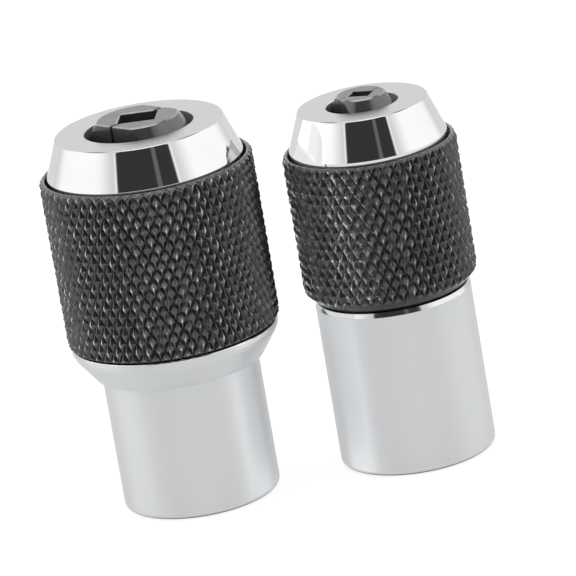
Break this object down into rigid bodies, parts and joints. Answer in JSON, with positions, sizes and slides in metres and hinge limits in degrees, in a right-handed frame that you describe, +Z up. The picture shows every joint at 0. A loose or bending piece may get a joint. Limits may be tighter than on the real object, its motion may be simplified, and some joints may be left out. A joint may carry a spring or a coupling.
{
  "type": "adjustable tap socket pair",
  "caption": "Adjustable tap sockets, large and small: square-drive bodies, knurled screw sleeves and conical nose caps that close V-notched jaws on a tap's square end.",
  "frame": {"origin": "middle of the pair's outline on the surface that both sockets stand on", "axes": "+Z up along both socket axes, +X from the large socket to the small one, +Y away from the viewer"},
  "size_m": [0.0582, 0.03, 0.0556],
  "materials": {
    "body_chrome": "satin chrome, turned",
    "sleeve_black": "black oxide, diamond knurl",
    "cap_chrome": "polished chrome cone with a finely turned end face",
    "jaw_steel": "hardened, dark ground steel",
    "spring_steel": "plain spring steel",
    "washer_brass": "plain brass"
  },
  "bodies": {
    "large_socket": {"large_body": "body_chrome", "large_stop_ring": "spring_steel"},
    "large_cap": {"large_nose_cap": "cap_chrome", "large_snap_ring": "spring_steel"},
    "large_sleeve": {"large_knurled_sleeve": "sleeve_black", "large_thrust_washer": "washer_brass"},
    "large_front": {"large_front_jaw": "jaw_steel"},
    "large_rear": {"large_rear_jaw": "jaw_steel", "large_upper_spring": "spring_steel", "large_lower_spring": "spring_steel"},
    "small_socket": {"small_body": "body_chrome", "small_stop_ring": "spring_steel"},
    "small_cap": {"small_nose_cap": "cap_chrome", "small_snap_ring": "spring_steel"},
    "small_sleeve": {"small_knurled_sleeve": "sleeve_black", "small_thrust_washer": "washer_brass"},
    "small_front": {"small_front_jaw": "jaw_steel"},
    "small_rear": {"small_rear_jaw": "jaw_steel", "small_upper_spring": "spring_steel", "small_lower_spring": "spring_steel"}
  },
  "joints": [
    {"name": "large_cap_slide", "type": "slide", "parent": "large_socket", "child": "large_cap", "axis": [0, 0, 1], "range_m": [-0.00019, 0.00329]},
    {"name": "large_sleeve_turn", "type": "hinge", "parent": "large_cap", "child": "large_sleeve", "pos_m": [-0.01415, 0, 0.036], "axis": [0, 0, 1], "range_deg": [-45, 790]},
    {"name": "large_front_jaw_slide", "type": "slide", "parent": "large_socket", "child": "large_front", "axis": [0.682, -0.7314, 0], "range_m": [-0.00011, 0.0019]},
    {"name": "large_rear_jaw_slide", "type": "slide", "parent": "large_socket", "child": "large_rear", "axis": [-0.682, 0.7314, 0], "range_m": [-0.00011, 0.0019]},
    {"name": "small_lift", "type": "slide", "parent": "large_socket", "child": "small_socket", "axis": [0, 0, 1], "range_m": [0, 0.08]},
    {"name": "small_cap_slide", "type": "slide", "parent": "small_socket", "child": "small_cap", "axis": [0, 0, 1], "range_m": [-0.00014, 0.00319]},
    {"name": "small_sleeve_turn", "type": "hinge", "parent": "small_cap", "child": "small_sleeve", "pos_m": [0.01685, 0.00265, 0.036], "axis": [0, 0, 1], "range_deg": [-33, 765]},
    {"name": "small_front_jaw_slide", "type": "slide", "parent": "small_socket", "child": "small_front", "axis": [0.3827, -0.9239, 0], "range_m": [-0.00008, 0.00184]},
    {"name": "small_rear_jaw_slide", "type": "slide", "parent": "small_socket", "child": "small_rear", "axis": [-0.3827, 0.9239, 0], "range_m": [-0.00008, 0.00184]}
  ],
  "couplings": [
    {"joint": "large_front_jaw_slide", "follows": "large_sleeve_turn", "m_per_rad": 0.00013783},
    {"joint": "large_rear_jaw_slide", "follows": "large_sleeve_turn", "m_per_rad": 0.00013783},
    {"joint": "large_cap_slide", "follows": "large_sleeve_turn", "m_per_rad": 0.00023873},
    {"joint": "small_front_jaw_slide", "follows": "small_sleeve_turn", "m_per_rad": 0.00013783},
    {"joint": "small_rear_jaw_slide", "follows": "small_sleeve_turn", "m_per_rad": 0.00013783},
    {"joint": "small_cap_slide", "follows": "small_sleeve_turn", "m_per_rad": 0.00023873}
  ]
}
